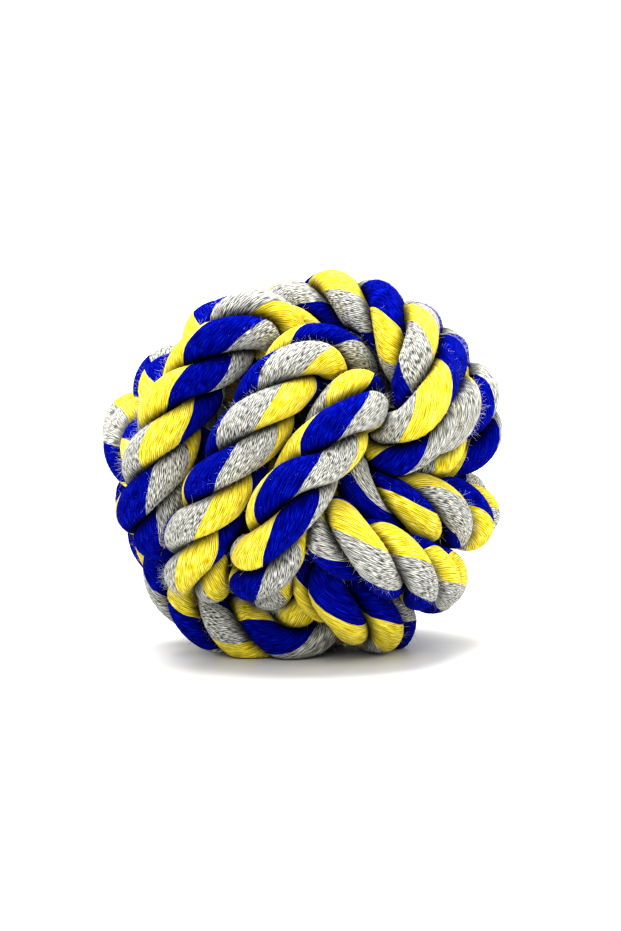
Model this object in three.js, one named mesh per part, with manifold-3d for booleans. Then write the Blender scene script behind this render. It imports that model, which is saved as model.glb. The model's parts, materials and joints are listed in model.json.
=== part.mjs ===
// Rope ball for a dog: one length of three-ply cotton rope, tied as a monkey's fist of
// three turns a face, with both ends bound and tucked into the middle of the ball.
// Millimetres, +Z up. The ball stands on z = 0 and its middle is over the origin.

import * as THREE from "three";
import { mergeVertices } from "three/addons/utils/BufferGeometryUtils.js";
import Module from "manifold-3d";

// Driving sizes
const ropeWidth = 18.5; // across the rope where it lies on the outside of the ball
const layLength = 43; // along the rope for one turn of its plies
const leastGap = 0.42; // between any two plies, and between a ply and itself
const bindingLength = 9; // of the thread wound round each end of the rope
const bindingWall = 0.9; // thickness of that thread's windings
const bindingGap = 0.35; // between the windings and the plies inside them
const bindingInset = 2; // of bare ply that stands out past the windings

// Shares of the rope's width that follow from three round plies in a squeezed rope
const plyPathShare = 0.36; // radius of the helix that a ply's middle follows
const plyRadiusShare = 0.28; // radius of a ply that nothing squeezes
const floorCutShare = 0.1; // how deep the lowest turns lie flat on the floor
const boundPathShare = 0.29; // the same two where the windings hold the plies together
const boundRadiusShare = 0.21;
const bendRadiusShare = 0.9; // of a ply's own bend, the most that its radius may be
const straightTurn = 1e-6; // a step that turns less than this, in radians, is straight

// Counts
const plyCount = 3;
const stationsPerLayCount = 5.8;
const plySides = 5;
const bindingSides = 10;
const stepsPerTurn = 24;
const turnsPerBand = 3;
const samplesPerStep = 5; // points between two stations of a ply, to measure gaps on

// The ball has three faces that the photograph shows: front, top and side. Each band of
// turns is outside on one pair of faces and inside on the next pair. A row is one turn,
// with its near and its far pass: how far out the pass lies, how far it lies along the
// band's own axis, and how much it slants, bows and leans out, all in widths of the rope.
const topBandShares = [
  [[2.4, 0.1, -0.75, 0.8, -0.55], [2.35, 0.45, -0.35, 0.2, -0.25]],
  [[2.3, -0.4, -0.25, 0.3, -0.2], [2.2, 0, 0, 0, 0]],
  [[2.25, -1.3, -0.4, 0.15, 0], [2.05, -0.9, 0, 0, 0.1]],
];
const sideBandShares = [
  [[2.45, -0.65, 0, 0, 0.25], [2.3, -0.95, -0.15, -0.1, -0.3]],
  [[2.45, -0.35, 0.15, -0.45, 0.25], [2.2, 0, 0, 0, -0.15]],
  [[2.3, 0.4, -0.15, -0.35, -0.25], [2, 0.75, 0, 0, 0]],
];
const frontBandShares = [
  [[2.45, -1.05, -0.35, 0.35, -0.1], [2.1, -1, 0, 0, 0]],
  [[2.45, 0.2, -0.2, -0.2, -0.1], [2.1, 0, 0, 0, 0]],
  [[2.3, 1.25, -0.3, -0.4, 0.15], [2.05, 1, 0, 0, 0]],
];

// Places along front, top and side, in widths of the rope: the tucked ends, and the two
// corners where the rope leaves one band for the next.
const firstEndShares = [[0.1, -0.5, 0], [0.5, -0.8, 0.35]];
const topToSideShares = [[-1.2, -1.95, 1.1], [-1.05, -1.5, 1.8]];
const sideToFrontShares = [[-1, 1.3, -1.95], [-1.75, 1.1, -1.5]];
const lastEndShares = [[-0.5, 0.8, 0.35], [-0.1, 0.4, 0.2]];

// How a turn goes from its outer pass to its inner pass, in degrees round the turn
const outerHalfDegrees = 44;
const diveDegrees = 30;
const innerReachShare = 1.3; // how far out an inner pass lies, in widths of the rope
const leastReachShare = 0.27;
const quarterTurnDegrees = 90;
const fullTurnDegrees = 360;
const lastTurnDegrees = 200;
const tuckTurnDegrees = 270;
const stepOverStartDegrees = 235; // where the rope starts to step over to the next turn
const stepOverDegrees = 70;

// How the knot is drawn tight
const tightenRounds = 300;
const contactPasses = 3;
const straightenShare = 0.12;
const smoothShare = 0.05;
const holdShare = 0.12;
const squeezedShare = 0.74; // least width of the rope where turns cross, to its full width
const besideShare = 0.98; // the same where turns lie side by side on the outside
const besideGainShare = 1.2;
const contactSkipCount = 5; // points nearer than this along the rope don't push each other
const halfPushShare = 0.5;

// Directions of the front and top faces as the ball lies on the floor, seen from -Y
const frontFaceShares = [-0.463, -0.875, 0.144];
const topFaceShares = [0.527, -0.141, 0.839];

// Each outer pass, in the order in which the rope makes them: how far the first ply has
// turned from straight out of the ball at the middle of the pass, in degrees, and the lay
// there as a share of the rope's own
const passTurns = [
  [5, 1.05],
  [50, 0.9],
  [35, 0.95],
  [40, 1],
  [60, 1],
  [60, 1],
  [65, 1.1],
  [30, 1.05],
  [95, 1],
  [0, 1],
  [0, 0.9],
  [0, 1],
  [40, 1],
  [80, 1],
  [45, 1],
  [10, 1.02],
  [30, 1],
  [55, 1.12],
];
const passHoldShare = 0.38; // of the way to the next pass, how far a pass's own turn holds

// Dyed cotton yarn, and the undyed thread that binds the ends
const yarn = new THREE.MeshStandardMaterial({ roughness: 0.95, metalness: 0 });
const thread = new THREE.MeshStandardMaterial({ color: "#d8d2c2", roughness: 0.8, metalness: 0 });
const plyColours = ["#1526b8", "#f2cf3a", "#a9a9a2"];

function smoothStep(value) {
  const x = Math.min(1, Math.max(0, value));
  return x * x * (3 - 2 * x);
}

// 0 on a turn's outer pass and 1 on its inner pass
function diveShare(degrees) {
  const half = fullTurnDegrees / 2;
  const wrapped = (((degrees + quarterTurnDegrees) % half) + half) % half;
  return smoothStep((Math.abs(wrapped - quarterTurnDegrees) - outerHalfDegrees) / diveDegrees);
}

// A point of a turn: out along the outer faces, out along the inner faces, and along the
// band's axis. innerSlot is the inner pass's place in its band, from -1 to 1.
function turnPoint(near, far, degrees, innerSlot) {
  const angle = THREE.MathUtils.degToRad(degrees);
  const shares = Math.cos(angle) > 0 ? near : far;
  const [reachShare, alongShare, slantShare, bowShare, leanShare] = shares;
  const dive = diveShare(degrees);
  const sine = Math.sin(angle);
  const outerAlong = (alongShare + slantShare * sine + bowShare * sine * sine) * ropeWidth;
  const innerAlong = innerSlot * squeezedShare * ropeWidth;
  const along = THREE.MathUtils.lerp(outerAlong, innerAlong, dive);
  const outerReach = reachShare + leanShare * sine;
  const reach = THREE.MathUtils.lerp(outerReach, innerReachShare, dive) * ropeWidth;
  const least = leastReachShare * ropeWidth;
  const inPlane = Math.sqrt(Math.max(reach * reach - along * along, least * least));
  return [inPlane * Math.cos(angle), inPlane * Math.sin(angle), along];
}

// The three bands, in the order in which the rope makes them. place turns a turn's own
// coordinates into front, top and side.
const bands = [
  {
    rows: topBandShares,
    start: 0,
    slot: 1,
    lastDegrees: lastTurnDegrees,
    place: (o, i, a) => [a, o, -i],
  },
  {
    rows: sideBandShares,
    start: 0,
    slot: -1,
    lastDegrees: lastTurnDegrees,
    place: (o, i, a) => [i, a, o],
  },
  {
    rows: frontBandShares,
    start: fullTurnDegrees / 2,
    slot: -1,
    lastDegrees: tuckTurnDegrees,
    place: (o, i, a) => [o, i, a],
  },
];

// Adds one band's turns to the route. held says how firmly a point keeps its place when
// the knot is drawn tight: 1 on an outer pass, 0 inside. middle marks an outer pass's middle.
function addBand(route, band) {
  const degreesPerStep = fullTurnDegrees / stepsPerTurn;
  const slotStep = -Math.sign(band.slot);
  for (let turn = 0; turn < turnsPerBand; turn += 1) {
    const last = turn === turnsPerBand - 1;
    for (let step = 0; step < stepsPerTurn; step += 1) {
      const gone = step * degreesPerStep;
      if (last && gone > band.lastDegrees) {
        break;
      }
      const degrees = band.start + gone;
      const stepped = last ? 0 : smoothStep((gone - stepOverStartDegrees) / stepOverDegrees);
      const row = !last && gone >= tuckTurnDegrees ? band.rows[turn + 1] : band.rows[turn];
      const slot = band.slot + slotStep * (turn + stepped);
      const point = new THREE.Vector3(...band.place(...turnPoint(row[0], row[1], degrees, slot)));
      const middle = gone % (fullTurnDegrees / 2) === 0;
      route.push({ point, held: 1 - diveShare(degrees), middle });
    }
  }
}

function addPlaces(route, shares) {
  for (const place of shares) {
    const point = new THREE.Vector3(...place).multiplyScalar(ropeWidth);
    route.push({ point, held: 0 });
  }
}

// The quarter turn inside the ball that leads from the first end to the first outer pass
function addLeadIn(route, band) {
  const degreesPerStep = fullTurnDegrees / stepsPerTurn;
  for (let degrees = tuckTurnDegrees; degrees < fullTurnDegrees; degrees += degreesPerStep) {
    const point = band.place(...turnPoint(band.rows[0][0], band.rows[0][1], degrees, band.slot));
    route.push({ point: new THREE.Vector3(...point), held: 1 - diveShare(degrees) });
  }
}

function looseRoute() {
  const route = [];
  addPlaces(route, firstEndShares);
  addLeadIn(route, bands[0]);
  addBand(route, bands[0]);
  addPlaces(route, topToSideShares);
  addBand(route, bands[1]);
  addPlaces(route, sideToFrontShares);
  addBand(route, bands[2]);
  addPlaces(route, lastEndShares);
  return route;
}

// Half the sum of a point's neighbours less the point, for every point but the ends
function lapOf(points) {
  return points.map((point, index) => {
    if (index === 0 || index === points.length - 1) {
      return new THREE.Vector3();
    }
    const middle = points[index - 1].clone().add(points[index + 1]).multiplyScalar(halfPushShare);
    return middle.sub(point);
  });
}

// Pushes apart the turns that are nearer than the rope's width there allows
function pushApart(points, held) {
  const pushes = points.map(() => new THREE.Vector3());
  const counts = points.map(() => 0);
  const between = new THREE.Vector3();
  for (let i = 0; i < points.length; i += 1) {
    for (let j = i + contactSkipCount; j < points.length; j += 1) {
      const beside = Math.min(1, besideGainShare * held[i] * held[j]);
      const width = THREE.MathUtils.lerp(squeezedShare, besideShare, beside) * ropeWidth;
      between.subVectors(points[i], points[j]);
      const distance = between.length();
      if (distance < width) {
        between.multiplyScalar((halfPushShare * (width - distance)) / distance);
        pushes[i].add(between);
        pushes[j].sub(between);
        counts[i] += 1;
        counts[j] += 1;
      }
    }
  }
  points.forEach((point, index) => {
    point.addScaledVector(pushes[index], 1 / Math.sqrt(Math.max(counts[index], 1)));
  });
}

// Draws the knot tight: the rope straightens, its outer passes keep their places, and its
// turns push each other apart until they only touch.
function drawTight(route) {
  const points = route.map((place) => place.point.clone());
  const held = route.map((place) => place.held);
  for (let round = 0; round < tightenRounds; round += 1) {
    const lap = lapOf(points);
    const bend = lapOf(lap);
    bend[0].set(0, 0, 0);
    points.forEach((point, index) => {
      point.addScaledVector(lap[index], smoothShare);
      point.addScaledVector(bend[index], -straightenShare);
      const back = route[index].point.clone().sub(point);
      point.addScaledVector(back, holdShare * held[index]);
    });
    for (let pass = 0; pass < contactPasses; pass += 1) {
      pushApart(points, held);
    }
  }
  return points;
}

// Turns front, top and side into the ball's place on the floor
function lieOnFloor(points) {
  const front = new THREE.Vector3(...frontFaceShares).normalize();
  const top = new THREE.Vector3(...topFaceShares);
  top.addScaledVector(front, -top.dot(front)).normalize();
  const side = new THREE.Vector3().crossVectors(top, front);
  return points.map((point) => {
    const placed = front.clone().multiplyScalar(point.x);
    return placed.addScaledVector(top, point.y).addScaledVector(side, point.z);
  });
}

// Carries a normal along a path without twisting it
function carriedNormals(points) {
  const tangents = points.map((point, index) => {
    const before = points[Math.max(index - 1, 0)];
    const after = points[Math.min(index + 1, points.length - 1)];
    return after.clone().sub(before).normalize();
  });
  const normal = new THREE.Vector3(0, 0, 1).cross(tangents[0]).normalize();
  return tangents.map((tangent) => {
    normal.addScaledVector(tangent, -normal.dot(tangent)).normalize();
    return { tangent, normal: normal.clone(), binormal: tangent.clone().cross(normal) };
  });
}

// The rope's width at every station: what the turns beside it leave, up to its full width
function widthsAlong(stations, spacing) {
  const skip = Math.ceil((besideShare * ropeWidth + ropeWidth) / spacing);
  const room = stations.map((station, i) => {
    let width = ropeWidth;
    stations.forEach((other, j) => {
      if (Math.abs(i - j) > skip) {
        width = Math.min(width, station.distanceTo(other) - leastGap);
      }
    });
    return width;
  });
  const around = (values, index) => values.slice(Math.max(index - 1, 0), index + 2);
  const least = room.map((value, index) => Math.min(...around(room, index)));
  return least.map((value, index) => {
    const near = around(least, index);
    return near.reduce((sum, width) => sum + width, 0) / near.length;
  });
}

// 1 where the windings at the rope's ends hold the plies, and 0 clear of them
function boundShare(index, count, spacing) {
  const fromEnd = Math.min(index, count - 1 - index) * spacing;
  return 1 - smoothStep((fromEnd - bindingInset - bindingLength) / ropeWidth);
}

// A size that is one share of the rope's width along the ball, and another share of what
// the windings leave at its ends
function sizeAlong(widths, spacing, share, heldShare) {
  return widths.map((width, index) => {
    const held = heldShare * (width - 2 * (bindingWall + bindingGap));
    return THREE.MathUtils.lerp(share * width, held, boundShare(index, widths.length, spacing));
  });
}

// A pass's own turn at a distance along the rope
function turnAt(pass, distance) {
  return pass.turn + pass.slope * (distance - pass.place);
}

// How far the first ply has turned at the middle of each outer pass, and how fast it turns
// there. Half way between two passes each is as near as can be to the one before it.
function turnsOfPasses(stations, frames, spacing, passPlaces) {
  const third = (2 * Math.PI) / plyCount;
  const passes = [];
  passPlaces.forEach((place, index) => {
    const [degrees, layShare] = passTurns[index];
    const station = stations[Math.round(place / spacing)];
    const { normal, binormal } = frames[Math.round(place / spacing)];
    const outward = Math.atan2(binormal.dot(station), normal.dot(station));
    const slope = (2 * Math.PI) / (layLength * layShare);
    const pass = { place, slope, turn: outward + THREE.MathUtils.degToRad(degrees) };
    if (index > 0) {
      const between = (passes[index - 1].place + place) / 2;
      const gap = turnAt(passes[index - 1], between) - turnAt(pass, between);
      pass.turn += third * Math.round(gap / third);
    }
    passes.push(pass);
  });
  return passes;
}

// How far the first ply has turned: as the nearest pass has it, easing from one pass to the
// next between them
function plyTurn(distance, passes) {
  const next = passes.findIndex(({ place }) => place > distance);
  if (next === 0 || next === -1) {
    return turnAt(passes.at(next === 0 ? 0 : -1), distance);
  }
  const [before, after] = [passes[next - 1], passes[next]];
  const share = (distance - before.place) / (after.place - before.place);
  const eased = smoothStep((share - passHoldShare) / (1 - 2 * passHoldShare));
  return THREE.MathUtils.lerp(turnAt(before, distance), turnAt(after, distance), eased);
}

// Each ply's path: a right-hand helix round the rope's own path
function plyPaths(stations, widths, spacing, passPlaces) {
  const frames = carriedNormals(stations);
  const passes = turnsOfPasses(stations, frames, spacing, passPlaces);
  const helixRadii = sizeAlong(widths, spacing, plyPathShare, boundPathShare);
  const paths = [];
  for (let ply = 0; ply < plyCount; ply += 1) {
    paths.push(
      stations.map((station, index) => {
        const angle = plyTurn(index * spacing, passes) + (2 * Math.PI * ply) / plyCount;
        const out = frames[index].normal.clone().multiplyScalar(Math.cos(angle));
        out.addScaledVector(frames[index].binormal, Math.sin(angle));
        return station.clone().addScaledVector(out, helixRadii[index]);
      }),
    );
  }
  return paths;
}

// Points along every ply, its stations and evenly between them
function plySamples(paths) {
  const samples = [];
  paths.forEach((path, ply) => {
    for (let sample = 0; sample <= (path.length - 1) * samplesPerStep; sample += 1) {
      const at = sample / samplesPerStep;
      const before = Math.min(Math.floor(at), path.length - 2);
      const point = path[before].clone().lerp(path[before + 1], at - before);
      samples.push({ ply, at, point });
    }
  });
  return samples;
}

// The windings at both ends: where they start and stop, and their radii
function windingsOf(path, widths, spacing) {
  const length = path.getLength();
  const heldCount = Math.ceil((bindingInset + bindingLength) / spacing) + 1;
  const envelope = (boundPathShare + boundRadiusShare) / Math.cos(Math.PI / bindingSides);
  return [false, true].map((atLast) => {
    const pointAt = (distance) => path.getPointAt((atLast ? length - distance : distance) / length);
    const held = atLast ? widths.slice(-heldCount) : widths.slice(0, heldCount);
    const inner = envelope * (Math.max(...held) - 2 * (bindingWall + bindingGap)) + bindingGap;
    const start = pointAt(bindingInset);
    const stop = pointAt(bindingInset + bindingLength);
    return { start, stop, inner, outer: inner + bindingWall };
  });
}

// Radius of each ply at every station: what its neighbours and its own bend leave
function plyRadii(paths, widths, spacing, windings) {
  const samples = plySamples(paths);
  const skip = contactSkipCount - 1;
  const fullRadii = sizeAlong(widths, spacing, plyRadiusShare, boundRadiusShare);
  const radii = paths.map(() => [...fullRadii]);
  const limit = (ply, at, radius) => {
    for (const index of new Set([Math.floor(at), Math.ceil(at)])) {
      radii[ply][index] = Math.min(radii[ply][index], radius);
    }
  };
  for (let i = 0; i < samples.length; i += 1) {
    for (let j = i + 1; j < samples.length; j += 1) {
      const same = samples[i].ply === samples[j].ply;
      if (!same || Math.abs(samples[i].at - samples[j].at) > skip) {
        const radius = (samples[i].point.distanceTo(samples[j].point) - leastGap) / 2;
        limit(samples[i].ply, samples[i].at, radius);
        limit(samples[j].ply, samples[j].at, radius);
      }
    }
  }
  for (const winding of windings) {
    const axis = new THREE.Line3(winding.start, winding.stop);
    const nearest = new THREE.Vector3();
    for (const { ply, at, point } of samples) {
      if (boundShare(at, widths.length, spacing) === 0) {
        axis.closestPointToPoint(point, true, nearest);
        limit(ply, at, point.distanceTo(nearest) - winding.outer - leastGap);
      }
    }
  }
  paths.forEach((path, ply) => {
    for (let index = 1; index + 1 < path.length; index += 1) {
      const before = path[index].clone().sub(path[index - 1]);
      const after = path[index + 1].clone().sub(path[index]);
      const turned = Math.max(before.angleTo(after), straightTurn);
      const bend = Math.min(before.length(), after.length()) / turned;
      limit(ply, index, bendRadiusShare * bend);
    }
  });
  return radii;
}

// Prints the least gap between plies, measured on points along their middles
function printLeastGap(paths, radii) {
  const samples = plySamples(paths);
  const radiusAt = ({ ply, at }) => {
    const before = Math.floor(at);
    return THREE.MathUtils.lerp(radii[ply][before], radii[ply][Math.ceil(at)], at - before);
  };
  let least = Infinity;
  for (let i = 0; i < samples.length; i += 1) {
    for (let j = i + 1; j < samples.length; j += 1) {
      const same = samples[i].ply === samples[j].ply;
      if (!same || Math.abs(samples[i].at - samples[j].at) >= contactSkipCount) {
        const apart = samples[i].point.distanceTo(samples[j].point);
        least = Math.min(least, apart - radiusAt(samples[i]) - radiusAt(samples[j]));
      }
    }
  }
  console.log(`least gap between plies ${least.toFixed(2)} mm`);
}

// A closed solid from rings of points: its sides, and a flat cap on each end
function solidFromRings(rings) {
  const sides = rings[0].length;
  const positions = rings.flat().flatMap((point) => point.toArray());
  const faces = [];
  for (let ring = 0; ring + 1 < rings.length; ring += 1) {
    for (let side = 0; side < sides; side += 1) {
      const a = ring * sides + side;
      const b = ring * sides + ((side + 1) % sides);
      faces.push(a, b, a + sides, b, b + sides, a + sides);
    }
  }
  const end = (rings.length - 1) * sides;
  for (let side = 1; side + 1 < sides; side += 1) {
    faces.push(0, side + 1, side, end, end + side, end + side + 1);
  }
  const geometry = new THREE.BufferGeometry();
  geometry.setAttribute("position", new THREE.Float32BufferAttribute(positions, 3));
  geometry.setIndex(faces);
  return geometry;
}

// A ring of points round a path's point
function ringAround(centre, frame, radius, sides) {
  return Array.from({ length: sides }, (unused, side) => {
    const angle = (2 * Math.PI * side) / sides;
    const out = frame.normal.clone().multiplyScalar(Math.cos(angle));
    out.addScaledVector(frame.binormal, Math.sin(angle));
    return centre.clone().addScaledVector(out, radius);
  });
}

function plyGeometry(path, radii) {
  const frames = carriedNormals(path);
  const rings = path.map((point, index) => ringAround(point, frames[index], radii[index], plySides));
  return solidFromRings(rings);
}

// A ring of windings: a short tube with a wall, closed into one solid
function windingGeometry({ start, stop, inner, outer }) {
  const [frame] = carriedNormals([start, stop]);
  const rings = [
    ringAround(start, frame, outer, bindingSides),
    ringAround(stop, frame, outer, bindingSides),
    ringAround(stop, frame, inner, bindingSides),
    ringAround(start, frame, inner, bindingSides),
  ];
  const faces = [];
  rings.forEach((unused, ring) => {
    const next = (ring + 1) % rings.length;
    for (let side = 0; side < bindingSides; side += 1) {
      const turned = (side + 1) % bindingSides;
      const [a, b] = [ring * bindingSides + side, ring * bindingSides + turned];
      const [c, d] = [next * bindingSides + side, next * bindingSides + turned];
      faces.push(a, b, c, b, d, c);
    }
  });
  const geometry = new THREE.BufferGeometry();
  const positions = rings.flat().flatMap((point) => point.toArray());
  geometry.setAttribute("position", new THREE.Float32BufferAttribute(positions, 3));
  geometry.setIndex(faces);
  return geometry;
}

// Keeps what lies above a height
function cutAbove(wasm, geometry, height, size) {
  const toSolid = (source) => {
    const bare = source.clone();
    bare.deleteAttribute("normal");
    bare.deleteAttribute("uv");
    const merged = mergeVertices(bare);
    return new wasm.Manifold(
      new wasm.Mesh({
        numProp: 3,
        vertProperties: new Float32Array(merged.attributes.position.array),
        triVerts: new Uint32Array(merged.index.array),
      }),
    );
  };
  const above = new THREE.BoxGeometry(size, size, size);
  above.translate(0, 0, height + size / 2);
  const kept = toSolid(geometry).intersect(toSolid(above)).getMesh();
  const result = new THREE.BufferGeometry();
  result.setAttribute("position", new THREE.BufferAttribute(new Float32Array(kept.vertProperties), 3));
  result.setIndex(new THREE.BufferAttribute(new Uint32Array(kept.triVerts), 1));
  return result;
}

const wasm = await Module();
wasm.setup();

const route = looseRoute();
const knotPoints = lieOnFloor(drawTight(route));
const ropePath = new THREE.CatmullRomCurve3(knotPoints, false, "catmullrom");
ropePath.arcLengthDivisions = (knotPoints.length - 1) * stepsPerTurn;
const ropeLength = ropePath.getLength();
const lengths = ropePath.getLengths();
const passPlaces = [];
route.forEach(({ middle }, index) => {
  if (middle) {
    passPlaces.push(lengths[index * stepsPerTurn]);
  }
});
const stationCount = Math.round((ropeLength / layLength) * stationsPerLayCount);
const stationSpacing = ropeLength / stationCount;
const stations = ropePath.getSpacedPoints(stationCount);
console.log(`rope length ${Math.round(ropeLength)} mm in ${bands.length * turnsPerBand} turns`);

const ropeWidths = widthsAlong(stations, stationSpacing);
const paths = plyPaths(stations, ropeWidths, stationSpacing, passPlaces);
const windings = windingsOf(ropePath, ropeWidths, stationSpacing);
const radii = plyRadii(paths, ropeWidths, stationSpacing, windings);
printLeastGap(paths, radii);

const plies = paths.map((path, ply) => plyGeometry(path, radii[ply]));
const box = new THREE.Box3();
plies.forEach((geometry) => {
  geometry.computeBoundingBox();
  box.union(geometry.boundingBox);
});
const floorHeight = box.min.z + floorCutShare * ropeWidth;
const ballMiddle = box.getCenter(new THREE.Vector3());
const cutSize = 2 * box.getSize(new THREE.Vector3()).length();

const ball = new THREE.Group();
plies.forEach((geometry, ply) => {
  const solid = cutAbove(wasm, geometry, floorHeight, cutSize);
  const mesh = new THREE.Mesh(solid, yarn.clone());
  mesh.material.color.set(plyColours[ply]);
  mesh.name = `ply_${ply + 1}`;
  mesh.position.set(-ballMiddle.x, -ballMiddle.y, -floorHeight);
  ball.add(mesh);
});
["first_end_whipping", "last_end_whipping"].forEach((name, index) => {
  const mesh = new THREE.Mesh(windingGeometry(windings[index]), thread);
  mesh.name = name;
  mesh.position.set(-ballMiddle.x, -ballMiddle.y, -floorHeight);
  ball.add(mesh);
});

export default ball;
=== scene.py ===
"""Rope ball for a dog, as it lies on a pale floor.

The ball is one length of soft three-ply cotton rope, tied as a monkey's fist of three turns
a face. Each ply is twisted from a yellow, a blue and a grey bundle of spun cotton yarns, and
both ends of the rope are bound with thread and tucked into the middle.
"""

import json
import math
from functools import lru_cache, partial

import bpy
import numpy as np
from bpy.props import FloatProperty, FloatVectorProperty, IntProperty, PointerProperty
from mathutils import Matrix, Vector

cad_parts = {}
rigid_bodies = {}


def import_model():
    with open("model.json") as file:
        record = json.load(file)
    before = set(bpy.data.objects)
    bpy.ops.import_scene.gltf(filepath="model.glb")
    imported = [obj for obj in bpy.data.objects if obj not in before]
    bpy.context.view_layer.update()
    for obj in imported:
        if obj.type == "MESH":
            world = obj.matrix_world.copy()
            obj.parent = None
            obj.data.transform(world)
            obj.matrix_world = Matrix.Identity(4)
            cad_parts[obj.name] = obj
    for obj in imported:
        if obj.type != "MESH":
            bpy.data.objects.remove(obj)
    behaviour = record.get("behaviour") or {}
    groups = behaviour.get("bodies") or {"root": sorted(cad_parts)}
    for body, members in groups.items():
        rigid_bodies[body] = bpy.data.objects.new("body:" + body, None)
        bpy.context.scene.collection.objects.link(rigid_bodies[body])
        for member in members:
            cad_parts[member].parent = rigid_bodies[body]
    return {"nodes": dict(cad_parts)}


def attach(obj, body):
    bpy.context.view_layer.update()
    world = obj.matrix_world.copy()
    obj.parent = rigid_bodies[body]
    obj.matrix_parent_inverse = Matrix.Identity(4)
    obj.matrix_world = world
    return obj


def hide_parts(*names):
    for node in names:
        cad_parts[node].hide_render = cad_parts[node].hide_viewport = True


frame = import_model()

bl_info = {
    "name": "Rope ball",
    "version": (1, 0, 0),
    "blender": (4, 5, 0),
    "location": "3D View > Sidebar > Rope ball",
    "description": "A ball for a dog, tied from one length of three-ply cotton rope",
    "category": "Object",
}

MM = 0.001

# The rope's route. The ball shows three faces: front, top and side. Each band of turns is
# outside on one pair of faces and inside on the next. A row is one turn, with its near and
# its far pass: how far out and how far along the band's axis the pass lies, and how much it
# slants, bows and leans out, in widths of the rope.
TOP_BAND_SHARES = (
    ((2.4, 0.1, -0.75, 0.8, -0.55), (2.35, 0.45, -0.35, 0.2, -0.25)),
    ((2.3, -0.4, -0.25, 0.3, -0.2), (2.2, 0, 0, 0, 0)),
    ((2.25, -1.3, -0.4, 0.15, 0), (2.05, -0.9, 0, 0, 0.1)),
)
SIDE_BAND_SHARES = (
    ((2.45, -0.65, 0, 0, 0.25), (2.3, -0.95, -0.15, -0.1, -0.3)),
    ((2.45, -0.35, 0.15, -0.45, 0.25), (2.2, 0, 0, 0, -0.15)),
    ((2.3, 0.4, -0.15, -0.35, -0.25), (2, 0.75, 0, 0, 0)),
)
FRONT_BAND_SHARES = (
    ((2.45, -1.05, -0.35, 0.35, -0.1), (2.1, -1, 0, 0, 0)),
    ((2.45, 0.2, -0.2, -0.2, -0.1), (2.1, 0, 0, 0, 0)),
    ((2.3, 1.25, -0.3, -0.4, 0.15), (2.05, 1, 0, 0, 0)),
)

# Places along front, top and side, in widths of the rope: the tucked ends, and the two
# corners where the rope changes bands
FIRST_END_SHARES = ((0.1, -0.5, 0), (0.5, -0.8, 0.35))
TOP_TO_SIDE_SHARES = ((-1.2, -1.95, 1.1), (-1.05, -1.5, 1.8))
SIDE_TO_FRONT_SHARES = ((-1, 1.3, -1.95), (-1.75, 1.1, -1.5))
LAST_END_SHARES = ((-0.5, 0.8, 0.35), (-0.1, 0.4, 0.2))

# How a turn goes from its outer pass to its inner pass
OUTER_HALF_DEGREES = 44
DIVE_DEGREES = 30
INNER_REACH_SHARE = 1.3
LEAST_REACH_SHARE = 0.27
LAST_TURN_DEGREES = 200
TUCK_TURN_DEGREES = 270
STEP_OVER_START_DEGREES = 235
STEP_OVER_DEGREES = 70
STEPS_PER_TURN = 24
TURNS_PER_BAND = 3

# How the knot is drawn tight
TIGHTEN_ROUNDS = 300
CONTACT_PASSES = 3
STRAIGHTEN_SHARE = 0.12
SMOOTH_SHARE = 0.05
HOLD_SHARE = 0.12
SQUEEZED_SHARE = 0.74
BESIDE_SHARE = 0.98
BESIDE_GAIN_SHARE = 1.2
CONTACT_SKIP_COUNT = 5

# Directions of the front and top faces as the ball lies on the floor, seen from -Y
FRONT_FACE_SHARES = (-0.463, -0.875, 0.144)
TOP_FACE_SHARES = (0.527, -0.141, 0.839)

# The rope's outer passes, in their order: how far the first ply has turned at the middle of
# the pass, in degrees from straight out of the ball, the lay there as a share of the rope's
# own, the bundles' lay as a share of that, and how far the yellow bundle of each ply has
# turned there, in degrees from the rope's outside
PASS_TURNS = (
    (5, 1.05, 0.49, 115, 65, 120),
    (50, 0.9, 0.51, 265, 310, 290),
    (35, 0.95, 0.53, 300, 205, 240),
    (40, 1, 0.51, 0, 120, 240),
    (60, 1, 0.43, 155, 290, 325),
    (60, 1, 0.51, 120, 240, 0),
    (65, 1.1, 0.45, 100, 115, 285),
    (30, 1.05, 0.44, 150, 85, 0),
    (95, 1, 0.5, 235, 20, 110),
    (0, 1, 0.51, 290, 170, 135),
    (0, 0.9, 0.75, 100, 70, 60),
    (0, 1, 0.51, 240, 0, 120),
    (40, 1, 0.51, 0, 240, 120),
    (80, 1, 0.52, 235, 185, 5),
    (45, 1, 0.51, 240, 120, 0),
    (10, 1.02, 0.53, 115, 145, 250),
    (30, 1, 0.51, 120, 0, 240),
    (55, 1.12, 0.5, 115, 150, 250),
)
PASS_HOLD_SHARE = 0.38

COLOURS = ("yellow", "blue", "grey")
PLY_COUNT = 3

# How the rope gives where it is pressed: the directions in which its room is measured, the
# least and the most room, in widths of the rope, and how sharply a section turns
ROOM_DIRECTIONS = 48
LEAST_ROOM_SHARE = 0.1
MOST_ROOM_SHARE = 2
PRESS_POWER = 20
SECTION_POWER = 8

# Where painted shade starts in the creases of the knot: between two plies, as shares of
# half the rope's width, between two turns, as shares of the room there, and towards the
# ball's middle, in widths of the rope
CREASE_START_SHARE = 0.1
CREASE_DEPTH_SHARE = 0.3
TOUCH_START_SHARE = 0.9
TOUCH_SPAN_SHARE = 0.14
DEEP_START_SHARE = 2.35
DEEP_SPAN_SHARE = 0.6

# Where fibre ends stand free: the least distance of the skin from the ball's middle along
# its own normal, in widths of the rope, how deep in a crease it may lie, and its least height
# over the floor, in lengths of the longest fibre end
FIBRE_REACH_SHARE = 1.6
FIBRE_CREASE_SHARE = 0.06
FIBRE_HEIGHT_SHARE = 1.4

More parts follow.
